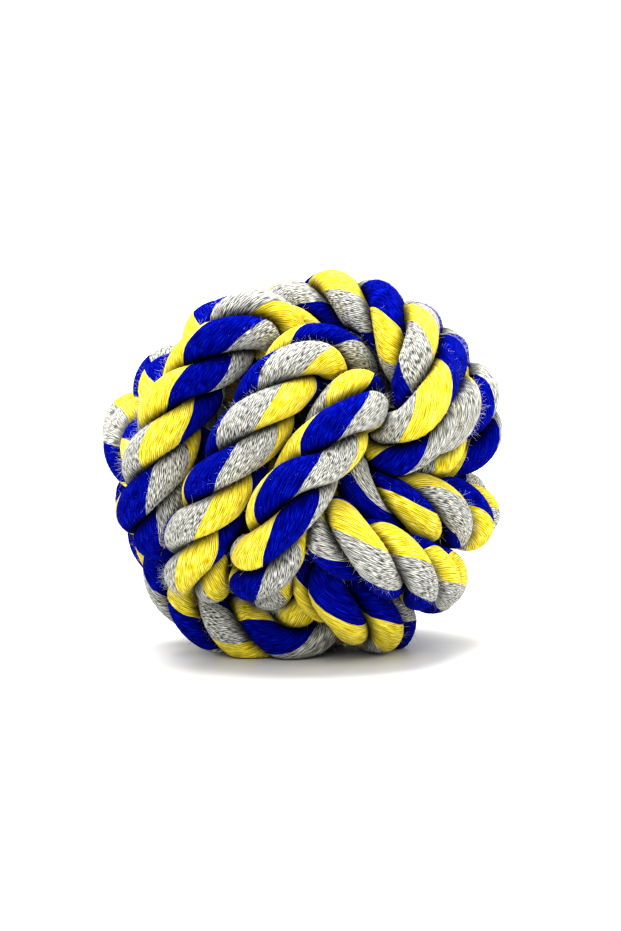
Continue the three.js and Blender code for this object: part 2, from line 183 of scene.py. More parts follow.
# How thickly each yarn's fibre ends stand: the grey yarn is spun loosest
FIBRE_SHARES = {"yellow": 0.35, "blue": 0.6, "grey": 1.5}
CM2_PER_M2 = 1e4

# One fibre end in its own length, standing on Z with its root in the yarn, how far the ends
# lean over in radians, and how long they are
FIBRE_BEND = {
    "Resolution": 2,
    "Start": (0, 0, -0.05),
    "Start Handle": (0, 0, 0.3),
    "End Handle": (0.05, 0, 0.65),
    "End": (0.2, 0.1, 0.95),
}
FIBRE_LEANS = (0.2, 1.3)
FIBRE_LENGTH_SHARES = (0.3, 1.0)
FIBRE_SIDES = 3
THREAD_SIDES = 8
THREAD_STEPS_PER_TURN = 30

# How a ply swells and thins: waves for each lay of the rope, and where each wave starts
SWELLS = ((1.37, 0), (2.3, 2))

# How the ridges of yarn wander on a bundle: bends for each millimetre across and along it,
# how far they go, in ridges, and how far off in the patterns the next bundle lies
WANDER_PER_MM = (0.25, 0.09)
WANDER_RIDGES = 2.4
PATTERN_STEP_MM = 40

# A bundle's mesh: columns for each ridge, and from what angle an edge stays sharp
COLUMNS_PER_RIDGE = 4
CAP_EDGE_DEGREES = 60


def linear(hex_colour):
    """A colour's linear values from its sRGB hex."""
    values = [int(hex_colour[at : at + 2], 16) / 255 for at in (1, 3, 5)]
    return tuple(v / 12.92 if v <= 0.04045 else ((v + 0.055) / 1.055) ** 2.4 for v in values)


def length(name, description, mm):
    """A length, with its default in millimetres."""
    return FloatProperty(name=name, description=description, default=mm * MM, unit="LENGTH")


def swatch(name, description, hex_colour):
    """A colour to choose, with its default in sRGB hex."""
    default = linear(hex_colour)
    return FloatVectorProperty(name=name, description=description, default=default, subtype="COLOR")


class RopeSizes(bpy.types.PropertyGroup):
    """Sizes of the rope and its yarns."""

    rope_width: length("Rope width", "Across the rope where it lies on the outside of the ball", 18.5)
    lay_length: length("Lay length", "Along the rope for one turn of its plies", 43)
    ply_depth: length("Ply depth", "Through a ply, from the rope's outside inwards", 9.3)
    ply_breadth: length("Ply breadth", "Through a ply, round the rope, before it is pressed flat", 10.8)
    row_spacing: length("Row spacing", "Between two rows of a bundle's mesh", 1.25)
    ply_unevenness: FloatProperty(
        name="Ply unevenness",
        description="How much a ply swells and thins along its length, as a share of its size",
        default=0.03,
    )
    yarn_spacing: length("Yarn spacing", "Between two fine lines on a ply, measured round it", 0.56)
    yarn_ridge_depth: length("Yarn ridge depth", "How far the ridges of yarn stand out", 0.08)
    yarn_ridges: IntProperty(
        name="Yarn ridges", description="Ridges of yarn across one bundle", default=9
    )
    fibre_length: length("Fibre length", "The longest of the loose fibre ends", 2.8)
    fibre_thickness: length("Fibre thickness", "Across one loose fibre end", 0.026)
    fibres_per_cm2: FloatProperty(
        name="Fibres per square centimetre",
        description="Loose fibre ends on the outside of the ball, times each yarn's own share",
        default=125,
    )


class RopeColours(bpy.types.PropertyGroup):
    """Colours of the yarns, the thread and the floor."""

    blue: swatch("Blue yarn", "Royal blue dyed cotton", "#01067A")
    blue_line: swatch("Blue lines", "Between two blue yarns", "#010448")
    blue_fibre: swatch("Blue fibres", "The palest fibres of the blue yarn", "#0A22C0")
    yellow: swatch("Yellow yarn", "Warm yellow dyed cotton", "#F2DE1E")
    yellow_line: swatch("Yellow lines", "Between two yellow yarns", "#8A6A08")
    yellow_fibre: swatch("Yellow fibres", "The palest fibres of the yellow yarn", "#FFF07A")
    grey: swatch("Grey yarn", "Heather grey: undyed cotton spun with black", "#ACACA4")
    grey_line: swatch("Grey lines", "The black fibres in the grey yarn", "#4A4A45")
    grey_fibre: swatch("Grey fibres", "The undyed fibres in the grey yarn", "#E6E6DE")
    thread: swatch("Binding thread", "Undyed cotton thread", "#D8D2C2")
    floor: swatch("Floor", "Plain pale floor", "#D4D4D4")


def smooth_step(value):
    """Eases from 0 to 1."""
    x = np.clip(value, 0.0, 1.0)
    return x * x * (3 - 2 * x)


def dive_share(degrees):
    """0 on a turn's outer pass and 1 on its inner pass."""
    wrapped = (degrees + 90) % 180
    return float(smooth_step((abs(wrapped - 90) - OUTER_HALF_DEGREES) / DIVE_DEGREES))


def turn_point(row, degrees, inner_slot):
    """A point of a turn, in widths of the rope: out, in, and along the band's axis."""
    angle = math.radians(degrees)
    shares = row[0] if math.cos(angle) > 0 else row[1]
    reach_share, along_share, slant_share, bow_share, lean_share = shares
    dive = dive_share(degrees)
    sine = math.sin(angle)
    outer_along = along_share + slant_share * sine + bow_share * sine**2
    along = outer_along + (inner_slot * SQUEEZED_SHARE - outer_along) * dive
    outer_reach = reach_share + lean_share * sine
    reach = outer_reach + (INNER_REACH_SHARE - outer_reach) * dive
    in_plane = math.sqrt(max(reach**2 - along**2, LEAST_REACH_SHARE**2))
    return in_plane * math.cos(angle), in_plane * math.sin(angle), along


# The three bands, in the rope's order: rows, where the first turn starts, the first inner
# pass's slot, the last turn's span, what turns a turn's own coordinates into front, top and
# side, and the places that the rope goes through next
BANDS = (
    (TOP_BAND_SHARES, 0, 1, LAST_TURN_DEGREES, lambda o, i, a: (a, o, -i), TOP_TO_SIDE_SHARES),
    (SIDE_BAND_SHARES, 0, -1, LAST_TURN_DEGREES, lambda o, i, a: (i, a, o), SIDE_TO_FRONT_SHARES),
    (FRONT_BAND_SHARES, 180, -1, TUCK_TURN_DEGREES, lambda o, i, a: (o, i, a), LAST_END_SHARES),
)


def loose_route():
    """The route before the knot is drawn tight, how firmly each point keeps its place, and
    which points are the middles of the outer passes."""
    points, held, passes = [], [], []

    def add_places(places):
        points.extend(places)
        held.extend([0.0] * len(places))

    def add_turn_point(place, row, degrees, slot):
        points.append(place(*turn_point(row, degrees, slot)))
        held.append(1 - dive_share(degrees))

    step = 360 / STEPS_PER_TURN
    add_places(FIRST_END_SHARES)
    first_rows, _, first_slot, _, first_place, _ = BANDS[0]
    for degrees in np.arange(TUCK_TURN_DEGREES, 360, step):
        add_turn_point(first_place, first_rows[0], degrees, first_slot)
    for rows, start, slot, last_degrees, place, next_places in BANDS:
        for turn in range(TURNS_PER_BAND):
            last = turn == TURNS_PER_BAND - 1
            for gone in np.arange(0, 360, step):
                if last and gone > last_degrees:
                    break
                over = smooth_step((gone - STEP_OVER_START_DEGREES) / STEP_OVER_DEGREES)
                stepped = 0 if last else float(over)
                row = rows[turn + 1] if not last and gone >= TUCK_TURN_DEGREES else rows[turn]
                if gone in (0, 180):
                    passes.append(len(points))
                add_turn_point(place, row, start + gone, slot - np.sign(slot) * (turn + stepped))
        add_places(next_places)
    return np.array(points), np.array(held), passes


def lap_of(points):
    """Half the sum of a point's neighbours less the point, for every point but the ends."""
    lap = np.zeros_like(points)
    lap[1:-1] = (points[:-2] + points[2:]) / 2 - points[1:-1]
    return lap


def draw_tight(route, held):
    """Draws the knot tight: the rope straightens, its outer passes keep their places, and
    its turns push each other apart until they only touch."""
    points = route.copy()
    beside = np.minimum(1, BESIDE_GAIN_SHARE * held[:, None] * held[None, :])
    width = SQUEEZED_SHARE + (BESIDE_SHARE - SQUEEZED_SHARE) * beside
    first, second = np.triu_indices(len(points), CONTACT_SKIP_COUNT)
    least = width[first, second]
    for _ in range(TIGHTEN_ROUNDS):
        lap = lap_of(points)
        points += SMOOTH_SHARE * lap - STRAIGHTEN_SHARE * lap_of(lap)
        points += HOLD_SHARE * held[:, None] * (route - points)
        for _ in range(CONTACT_PASSES):
            between = points[first] - points[second]
            distance = np.linalg.norm(between, axis=1)
            near = distance < least
            push = (least[near] - distance[near]) / (2 * distance[near])
            pushes = np.zeros_like(points)
            np.add.at(pushes, first[near], between[near] * push[:, None])
            np.add.at(pushes, second[near], -between[near] * push[:, None])
            touched = np.concatenate((first[near], second[near]))
            counts = np.bincount(touched, minlength=len(points))
            points += pushes / np.sqrt(np.maximum(counts, 1))[:, None]
    return points


def unit(vector):
    """A vector made one long."""
    return vector / np.linalg.norm(vector)


def lie_on_floor(points):
    """Turns front, top and side into the ball's own place on the floor."""
    front = unit(np.array(FRONT_FACE_SHARES))
    top = np.array(TOP_FACE_SHARES)
    top = unit(top - front * (top @ front))
    return points @ np.array((front, top, np.cross(top, front)))


def points_at(distances, along, points):
    """The points of a path at distances along it."""
    return np.stack([np.interp(distances, along, points[:, axis]) for axis in range(3)], axis=1)


def smooth_path(points, spacing, steps=24):
    """A Catmull-Rom curve through the points, as evenly spaced stations, with how far along
    each station and each point lies."""
    ends = np.vstack((2 * points[0] - points[1], points, 2 * points[-1] - points[-2]))
    before, start, stop, after = (ends[at : at + len(points) - 1] for at in range(4))
    out, into = (stop - before) / 2, (after - start) / 2
    start, stop, out, into = (side[:, None, :] for side in (start, stop, out, into))
    t = np.linspace(0, 1, steps, endpoint=False)[None, :, None]
    fine = (2 * t**3 - 3 * t**2 + 1) * start + (t**3 - 2 * t**2 + t) * out
    fine = fine + (3 * t**2 - 2 * t**3) * stop + (t**3 - t**2) * into
    fine = np.vstack((fine.reshape(-1, 3), points[-1]))
    gone = np.concatenate(((0,), np.cumsum(np.linalg.norm(np.diff(fine, axis=0), axis=1))))
    along = np.linspace(0, gone[-1], round(gone[-1] / spacing) + 1)
    return points_at(along, gone, fine), along, gone[::steps]


def carried_frames(stations):
    """Tangents, and normals carried along the path without twisting."""
    tangents = np.gradient(stations, axis=0)
    tangents /= np.linalg.norm(tangents, axis=1)[:, None]
    normals = np.zeros_like(tangents)
    normal = np.cross((0, 0, 1), tangents[0])
    for index, tangent in enumerate(tangents):
        normal = unit(normal - tangent * (normal @ tangent))
        normals[index] = normal
    return normals, np.cross(tangents, normals)


def node_points(name):
    """The points of a node of the construction, each one once."""
    vertices = frame["nodes"][name].data.vertices
    points = np.zeros(len(vertices) * 3)
    vertices.foreach_get("co", points)
    return np.unique(points.reshape(-1, 3).round(6), axis=0)


# How long a whipping is, how far from the rope's end it starts, and its gap to the rope
WHIPPINGS = ("first_end_whipping", "last_end_whipping")
BINDING_LENGTH = 9 * MM
BINDING_INSET = 2 * MM
BINDING_GAP = 0.2 * MM


def whipping_ends(name, stations, along):
    """The places of the rope where a whipping starts and stops."""
    distances = (BINDING_INSET, BINDING_INSET + BINDING_LENGTH)
    if name == WHIPPINGS[1]:
        distances = [along[-1] - distance for distance in distances]
    return points_at(distances, along, stations)


def shift_to_frame(stations, along):
    """How far the construction has moved the route: the middle of a whipping lies half way
    between the two places of the rope that it starts and stops at."""
    shifts = [
        node_points(name).mean(axis=0) - whipping_ends(name, stations, along).mean(axis=0)
        for name in WHIPPINGS
    ]
    return sum(shifts) / len(shifts)


def whipping_place(name, stations, along):
    """A whipping's middle, its axis, and its inner and outer radius."""
    start, stop = whipping_ends(name, stations, along)
    axis = unit(stop - start)
    points = node_points(name)
    middle = points.mean(axis=0)
    reach = np.linalg.norm(np.cross(points - middle, axis), axis=1)
    return middle, axis, reach.min(), reach.max()


def room_round(stations, along, normals, binormals, rope_width):
    """How far the rope can reach at each station in each direction across it: half way to
    the turns beside it, and to the floor."""
    angles = np.arange(ROOM_DIRECTIONS) * (2 * math.pi / ROOM_DIRECTIONS)
    skip = (1 + BESIDE_SHARE) * rope_width
    most = MOST_ROOM_SHARE * rope_width
    every_second = slice(None, None, 2)
    room = np.full((len(stations), ROOM_DIRECTIONS), most)
    for index, station in enumerate(stations):
        across = np.outer(np.cos(angles), normals[index]) + np.outer(np.sin(angles), binormals[index])
        apart = stations[every_second] - station
        far = np.abs(along[every_second] - along[index]) > skip
        near = np.linalg.norm(apart, axis=1) < most
        apart = apart[far & near]
        toward = across @ apart.T
        with np.errstate(divide="ignore"):
            half_way = (apart**2).sum(axis=1)[None, :] / (2 * toward)
        half_way[toward <= 0] = np.inf
        if half_way.size:
            room[index] = np.minimum(room[index], half_way.min(axis=1))
        down = across[:, 2] < 0
        room[index, down] = np.minimum(room[index, down], -station[2] / across[down, 2])
    return np.maximum(room, LEAST_ROOM_SHARE * rope_width)


def eased_between(along, places, values, slopes):
    """Lines that hold round each place and ease from one line to the next between them."""
    share = np.interp(along, places, np.arange(len(places), dtype=float))
    lower = np.clip(np.floor(share).astype(int), 0, len(places) - 2)
    rest = np.clip((share - lower - PASS_HOLD_SHARE) / (1 - 2 * PASS_HOLD_SHARE), 0, 1)
    values, slopes = np.array(values), np.array(slopes)
    before, after = (values[at] + slopes[at] * (along - places[at]) for at in (lower, lower + 1))
    return before + (after - before) * smooth_step(rest)


def nearest_turns(places, values, slopes, whole):
    """The same lines with whole turns added, so that half way between two places each line
    is as near as can be to the one before it."""
    near = [values[0]]
    for at in range(1, len(values)):
        half = (places[at] - places[at - 1]) / 2
        gap = near[-1] + slopes[at - 1] * half - (values[at] - slopes[at] * half)
        near.append(values[at] + whole * round(gap / whole))
    return near


@lru_cache(maxsize=None)
def drawn_rope(rope_width, lay_length, row_spacing):
    """The rope's stations, frames, room and the turn of its plies."""
    route, held, passes = loose_route()
    knot = lie_on_floor(draw_tight(route, held)) * rope_width
    from_middle, along, places = smooth_path(knot, row_spacing)
    normals, binormals = carried_frames(from_middle)
    middle = shift_to_frame(from_middle, along)
    stations = from_middle + middle
    room = room_round(stations, along, normals, binormals, rope_width)
    whippings = [whipping_place(name, stations, along) for name in WHIPPINGS]
    for from_end, (_, _, inner, _) in zip((along, along[-1] - along), whippings):
        clear = smooth_step((from_end - BINDING_INSET - BINDING_LENGTH) / rope_width)
        bound = inner - BINDING_GAP + MOST_ROOM_SHARE * rope_width * clear
        room = np.minimum(room, bound[:, None])
    pass_places = places[passes]
    turns, slopes, yellow_slopes = [], [], []
    for place, (degrees, lay_share, bundle_share, *_) in zip(pass_places, PASS_TURNS):
        index = int(np.searchsorted(along, place))
        out = from_middle[index]
        outward = math.atan2(binormals[index] @ out, normals[index] @ out)
        turns.append(outward + math.radians(degrees))
        slopes.append(2 * math.pi / (lay_length * lay_share))
        yellow_slopes.append(-slopes[-1] / bundle_share)
    turns = nearest_turns(pass_places, turns, slopes, 2 * math.pi / PLY_COUNT)
    yellow_turn = []
    for ply in range(PLY_COUNT):
        at_pass = [math.radians(row[3 + ply]) for row in PASS_TURNS]
        at_pass = nearest_turns(pass_places, at_pass, yellow_slopes, 2 * math.pi)
        yellow_turn.append(eased_between(along, pass_places, at_pass, yellow_slopes))
    return dict(
        middle=middle,
        whippings=whippings,
        stations=stations,
        along=along,
        normals=normals,
        binormals=binormals,
        room=room,
        ply_turn=eased_between(along, pass_places, turns, slopes),
        yellow_turn=yellow_turn,
    )


def rope_now():
    """The rope in the sizes that the panel shows."""
    sizes = bpy.context.scene.rope_sizes
    return drawn_rope(sizes.rope_width, sizes.lay_length, sizes.row_spacing)


def section_reach(angle, ply_depth, ply_breadth, ply_place):
    """How far a ply's outline lies from its middle, at an angle from straight out of the
    rope: an oval, pressed flat against the two plies beside it."""
    oval = np.hypot(np.cos(angle) / (ply_depth / 2), np.sin(angle) / (ply_breadth / 2))
    wall = ply_place * math.sin(math.pi / PLY_COUNT)
    sides = [np.maximum(np.sin(turn * angle - math.pi / PLY_COUNT), 0) / wall for turn in (1, -1)]
    total = oval**SECTION_POWER + sides[0] ** SECTION_POWER + sides[1] ** SECTION_POWER
    return total ** (-1 / SECTION_POWER)


def room_at(angle, room):
    """The room in the directions of points round the rope's middle."""
    turns = (angle / (2 * math.pi)) % 1 * ROOM_DIRECTIONS
    lower = np.floor(turns).astype(int) % ROOM_DIRECTIONS
    upper = (lower + 1) % ROOM_DIRECTIONS
    rows = np.arange(len(room))[:, None]
    rest = turns - np.floor(turns)
    return room[rows, lower] * (1 - rest) + room[rows, upper] * rest


def bundle_rings(rope, sizes, ply, bundle, columns):
    """Rings of points round one bundle of yarns, its skin and its edge in the ply's middle,
    and how deep in a crease of the knot each point lies, from 0 to 1, which sets how much
    shade is painted on the yarn there."""
    ply_place = (sizes.rope_width - sizes.ply_depth) / 2
    first_edge = rope["yellow_turn"][ply] + 2 * math.pi * bundle / len(COLOURS)
    offsets = np.linspace(0, 2 * math.pi / len(COLOURS), columns + 1)
    angle = first_edge[:, None] + offsets[None, :]
    lays = 2 * math.pi * rope["along"] / sizes.lay_length + ply
    swell = sum(np.sin(waves * lays + start) for waves, start in SWELLS) / len(SWELLS)
    reach = section_reach(angle, sizes.ply_depth, sizes.ply_breadth, ply_place)
    reach = reach * (1 + sizes.ply_unevenness * swell[:, None])
    ply_middle = np.full((len(angle), 1), ply_place)
    out = np.hstack((ply_place + reach * np.cos(angle), ply_middle))
    aside = np.hstack((reach * np.sin(angle), np.zeros_like(ply_middle)))
    turn = rope["ply_turn"][:, None] + 2 * math.pi * ply / PLY_COUNT + np.arctan2(aside, out)
    free = np.hypot(out, aside)
    limit = room_at(turn, rope["room"])
    from_middle = (free ** (-PRESS_POWER) + limit ** (-PRESS_POWER)) ** (-1 / PRESS_POWER)
    across = (
        np.cos(turn)[:, :, None] * rope["normals"][:, None, :]
        + np.sin(turn)[:, :, None] * rope["binormals"][:, None, :]
    )
    rings = rope["stations"][:, None, :] + from_middle[:, :, None] * across
    # Painted shade: darker between two plies, where two turns press together, and towards the ball's
    # middle
    sunk = 1 - 2 * from_middle / sizes.rope_width
    between_plies = smooth_step((sunk - CREASE_START_SHARE) / CREASE_DEPTH_SHARE)
    between_turns = smooth_step((free / limit - TOUCH_START_SHARE) / TOUCH_SPAN_SHARE)
    far_out = np.linalg.norm(rings - rope["middle"], axis=2) / sizes.rope_width
    deep = smooth_step((DEEP_START_SHARE - far_out) / DEEP_SPAN_SHARE)
    return rings, np.maximum(np.maximum(between_plies, between_turns), deep)


def tube_mesh(name, rings, ways, creases):
    """A closed tube through rings of points, with a flat cap on each end. ways gives each
    point's place on the yarns, in millimetres, and creases the share of painted shade at
    each point."""
    rows, sides = rings.shape[:2]
    row, side = np.arange(rows - 1)[:, None] * sides, np.arange(sides)[None, :]
    here, beside = row + side, row + (side + 1) % sides
    quads = np.stack((here, beside, beside + sides, here + sides), axis=2).reshape(-1)
    caps = np.concatenate((np.arange(sides)[::-1], (rows - 1) * sides + np.arange(sides)))
    corners = np.concatenate((quads, caps))
    starts = np.concatenate((np.arange(0, len(quads), 4), (len(quads), len(quads) + sides)))
    mesh = bpy.data.meshes.new(name)
    mesh.vertices.add(rows * sides)
    mesh.vertices.foreach_set("co", rings.reshape(-1))
    mesh.loops.add(len(corners))
    mesh.loops.foreach_set("vertex_index", corners)
    mesh.polygons.add(len(starts))
    mesh.polygons.foreach_set("loop_start", starts)
    mesh.update(calc_edges=True)
    way = mesh.uv_layers.new(name="yarn_way")
    way.data.foreach_set("uv", ways.reshape(-1, 2)[corners].reshape(-1))
    # Painted shade: how deep in a crease each point lies, which darkens the yarn's dye
    crease = mesh.attributes.new("crease", "FLOAT", "POINT")
    crease.data.foreach_set("value", creases.reshape(-1))
    mesh.shade_smooth()
    mesh.set_sharp_from_angle(angle=math.radians(CAP_EDGE_DEGREES))
    return mesh


def place_object(name, data):
    """A new object in the scene."""
    placed = bpy.data.objects.new(name, data)
    bpy.context.scene.collection.objects.link(placed)
    return placed


# The kinds of node that are used most
MATH = "ShaderNodeMath"
VECTOR_MATH = "ShaderNodeVectorMath"
NOISE = "ShaderNodeTexNoise"
RAMP = "ShaderNodeValToRGB"


def add_node(tree, kind, *values, stops=(), **settings):
    """Adds a node with its own settings, and gives its outputs. Its inputs are set or linked
    in order from values, or by name or number from one dictionary. stops are the places and
    colours of a ramp."""
    node = tree.nodes.new(kind)
    for name, value in settings.items():
        setattr(node, name, value)
    inputs = values[0] if values and isinstance(values[0], dict) else dict(enumerate(values))
    for name, value in inputs.items():
        if isinstance(value, bpy.types.NodeSocket):
            tree.links.new(value, node.inputs[name])
        else:
            node.inputs[name].default_value = value
    if stops:
        elements = node.color_ramp.elements
        for element, (place, colour) in zip(elements, (stops[0], stops[-1])):
            element.position = place
            element.color = (*colour, 1)
        for place, colour in stops[1:-1]:
            elements.new(place).color = (*colour, 1)
    return node.outputs


def new_geometry_tree(name, *numbers, **others):
    """A tree with geometry in and out, a material, named numbers and other inputs, what adds
    a node to it, and its input sockets."""
    tree = bpy.data.node_groups.new(name, "GeometryNodeTree")
    new_socket = tree.interface.new_socket
    new_socket(name="Geometry", in_out="INPUT", socket_type="NodeSocketGeometry")
    kinds = {"Material": "Material", **dict.fromkeys(numbers, "Float"), **others}
    for socket_name, kind in kinds.items():
        new_socket(name=socket_name, in_out="INPUT", socket_type=f"NodeSocket{kind}")
    new_socket(name="Geometry", in_out="OUTPUT", socket_type="NodeSocketGeometry")
    add = partial(add_node, tree)
    return tree, add, add("NodeGroupInput")


def end_tree(add, geometry, material):
    """Ends a tree in real geometry with its material."""
    real = add("GeometryNodeRealizeInstances", geometry)[0]
    covered = add("GeometryNodeSetMaterial", {"Geometry": real, "Material": material})[0]
    add("NodeGroupOutput", covered)


def mesh_from_tree(tree, mesh, values):
    """The mesh that a tree makes from another mesh, with the tree's named inputs set."""
    holder = place_object("holder", mesh)
    modifier = holder.modifiers.new(tree.name, "NODES")
    modifier.node_group = tree
    for item in tree.interface.items_tree:
        if item.name in values:
            modifier[item.identifier] = values[item.name]
    bpy.context.view_layer.update()
    depsgraph = bpy.context.evaluated_depsgraph_get()
    made = bpy.data.meshes.new_from_object(holder.evaluated_get(depsgraph), depsgraph=depsgraph)
    bpy.data.objects.remove(holder)
    if not made.polygons:
        raise RuntimeError(f"{tree.name} made nothing")
    return made


def yarn_relief_tree():
    """Raises the yarns of a bundle out of its skin."""
    tree, add, given = new_geometry_tree("yarn_relief", "Skin", "Ridges", "Depth")
    way = add("GeometryNodeInputNamedAttribute", "yarn_way", data_type="FLOAT_VECTOR")["Attribute"]
    place = add(VECTOR_MATH, way, (*WANDER_PER_MM, 0), operation="MULTIPLY")[0]
    wander = add(NOISE, {"Vector": place, "Scale": 1.0, "Detail": 2.0})[0]
    across = add("ShaderNodeSeparateXYZ", way)["X"]
    share = add(MATH, across, given["Skin"], operation="DIVIDE")[0]
    ridge = add(MATH, share, given["Ridges"], operation="MULTIPLY")[0]
    ridge = add(MATH, wander, WANDER_RIDGES, ridge, operation="MULTIPLY_ADD")[0]
    turned = add(MATH, ridge, math.pi, operation="MULTIPLY")[0]
    sine = add(MATH, turned, operation="SINE")[0]
    height = add(MATH, sine, operation="ABSOLUTE")[0]
    height = add(MATH, height, 1.0, operation="SUBTRACT")[0]
    depth = add(MATH, height, given["Depth"], operation="MULTIPLY")[0]
    inputs = {"Vector": add("GeometryNodeInputNormal")[0], "Scale": depth}
    offset = add(VECTOR_MATH, inputs, operation="SCALE")[0]
    inputs = {"Geometry": given["Geometry"], "Offset": offset}
    end_tree(add, add("GeometryNodeSetPosition", inputs)[0], given["Material"])
    return tree


def thread_along(add, curve, sides, thickness):
    """A round thread along a curve, closed at both ends."""
    radius = add(MATH, thickness, 2.0, operation="DIVIDE")[0]
    section = add("GeometryNodeCurvePrimitiveCircle", {"Resolution": sides, "Radius": radius})[0]
    inputs = {"Curve": curve, "Profile Curve": section, "Fill Caps": True}
    return add("GeometryNodeCurveToMesh", inputs)[0]


def fibre_ends_tree():
    """Stands loose fibre ends on the outside of the ball."""
    numbers = ("Reach", "Density", "Length", "Thickness")
    tree, add, given = new_geometry_tree("loose_fibre_ends", *numbers, Middle="Vector", Seed="Int")
    position = add("GeometryNodeInputPosition")[0]
    normal = add("GeometryNodeInputNormal")[0]
    from_middle = add(VECTOR_MATH, position, given["Middle"], operation="SUBTRACT")[0]
    outward = add(VECTOR_MATH, from_middle, normal, operation="DOT_PRODUCT")["Value"]
    outside = add(MATH, outward, given["Reach"], operation="GREATER_THAN")[0]
    crease = add("GeometryNodeInputNamedAttribute", "crease", data_type="FLOAT")["Attribute"]
    in_air = add(MATH, crease, FIBRE_CREASE_SHARE, operation="LESS_THAN")[0]
    height = add("ShaderNodeSeparateXYZ", position)["Z"]
    least = add(MATH, given["Length"], FIBRE_HEIGHT_SHARE, operation="MULTIPLY")[0]
    off_floor = add(MATH, height, least, operation="GREATER_THAN")[0]
    free = add(MATH, outside, in_air, operation="MULTIPLY")[0]
    inputs = {
        "Mesh": given["Geometry"],
        "Selection": add(MATH, free, off_floor, operation="MULTIPLY")[0],
        "Density": given["Density"],
        "Seed": given["Seed"],
    }
    roots = add("GeometryNodeDistributePointsOnFaces", inputs)
    bend = add("GeometryNodeCurvePrimitiveBezierSegment", FIBRE_BEND)[0]
    slimness = add(MATH, given["Thickness"], given["Length"], operation="DIVIDE")[0]
    least_lean, most_lean = FIBRE_LEANS
    inputs = {0: (least_lean, 0, 0), 1: (most_lean, 0, 2 * math.pi), "Seed": given["Seed"]}
    lean = add("FunctionNodeRandomValue", inputs, data_type="FLOAT_VECTOR")[0]
    lean = add("FunctionNodeEulerToRotation", lean)[0]
    turn = add("FunctionNodeRotateRotation", roots["Rotation"], lean, rotation_space="LOCAL")[0]
    # The third and fourth inputs and the second output of a random value are its numbers
    inputs = {2: FIBRE_LENGTH_SHARES[0], 3: FIBRE_LENGTH_SHARES[1], "Seed": given["Seed"]}
    share = add("FunctionNodeRandomValue", inputs, data_type="FLOAT")[1]
    inputs = {
        "Points": roots["Points"],
        "Instance": thread_along(add, bend, FIBRE_SIDES, slimness),
        "Rotation": turn,
        "Scale": add(MATH, share, given["Length"], operation="MULTIPLY")[0],
    }
    end_tree(add, add("GeometryNodeInstanceOnPoints", inputs)[0], given["Material"])
    return tree


def winding_tree():
    """Winds a thread into a close spiral that stands on its own middle."""
    tree, add, given = new_geometry_tree("thread_winding", "Radius", "Length", "Turns", "Thickness")
    inputs = {
        "Resolution": THREAD_STEPS_PER_TURN,
        "Rotations": given["Turns"],
        "Start Radius": given["Radius"],
        "End Radius": given["Radius"],
        "Height": given["Length"],
    }
    spiral = add("GeometryNodeCurveSpiral", inputs)[0]
    thread = thread_along(add, spiral, THREAD_SIDES, given["Thickness"])
    down = add(MATH, given["Length"], -2.0, operation="DIVIDE")[0]
    offset = add("ShaderNodeCombineXYZ", {"Z": down})[0]
    centred = add("GeometryNodeSetPosition", {"Geometry": thread, "Offset": offset})[0]
    inputs = {"Geometry": centred, "Shade Smooth": True}
    end_tree(add, add("GeometryNodeSetShadeSmooth", inputs)[0], given["Material"])
    return tree


WHITE = (1, 1, 1)
BLACK = (0, 0, 0)

# A Mix node's inputs for its factor and its two colours, and its colour output
MIX_INPUTS = (0, 6, 7)
MIX_COLOUR = 2

# How each yarn looks: where its streaks of fibre run through its dark, own and pale colour,
# how broad and long they are in mm, where the wide gaps between yarns show, how broad and
# long the dashes of the fine lines are in mm and how much they show, and its sheen
YARN_LOOKS = {
    "yellow": ((0.05, 0.46, 0.64), (0.22, 2.4), (0.24, 0.32), (0.9, 3.5), 0.9, 0.3),
    "blue": ((0.2, 0.5, 0.74), (0.22, 2.4), (0.22, 0.32), (0.9, 3.5), 0.4, 0.08),
    "grey": ((0.34, 0.48, 0.64), (0.22, 1.3), (0.2, 0.3), (0.26, 1.3), 1.0, 0.3),
}

# The patterns that all yarns share, breadth and length in mm: the wide gaps, as broad as a
# share of the yarns' spacing, how the fine lines wander, in radians of their spacing, and
# the patches that handling left, with the tone of the darkest
GAP_BREADTH_SHARE = 0.4
GAP_LENGTH_MM = 14
LINE_WANDER_MM = (2.4, 14)
LINE_WANDER_RADIANS = 4.0
PATCH_MM = (5, 9)
PATCH_STOPS = ((0.3, (0.86, 0.86, 0.86)), (0.7, WHITE))

# Where a fine line ends at its sides, and where its dashes start and are full
LINE_STOPS = ((0.1, WHITE), (0.4, BLACK))
DASH_STOPS = ((0.42, BLACK), (0.54, WHITE))

# Painted shade deep in a crease, its darkest tone: a constant, and a share of the dye
CREASE_PAINTED_SHADE = (0.02, 0.08)

# How much the lines, the streaks and the gaps count in the relief, and its depth
LINE_RELIEF = 0.25
STREAK_RELIEF = 0.9
GAP_RELIEF = 0.8
RELIEF_DEPTH = 0.16 * MM


def new_material(name):
    """An empty material, and what adds a node to it."""
    material = bpy.data.materials.new(name)
    material.use_nodes = True
    material.node_tree.nodes.clear()
    return material, partial(add_node, material.node_tree)


def end_material(add, inputs):
    """Ends a material in a shader with these inputs."""
    add("ShaderNodeOutputMaterial", add("ShaderNodeBsdfPrincipled", inputs)["BSDF"])


def streaks_along(add, way, size, detail=2.0):
    """Noise drawn out along the yarns: size gives a streak's breadth and length in mm."""
    scale = (1 / size[0], 1 / size[1], 1)
    place = add("ShaderNodeMapping", {"Vector": way, "Scale": scale}, vector_type="POINT")[0]
    return add(NOISE, {"Vector": place, "Scale": 1.0, "Detail": detail})[0]


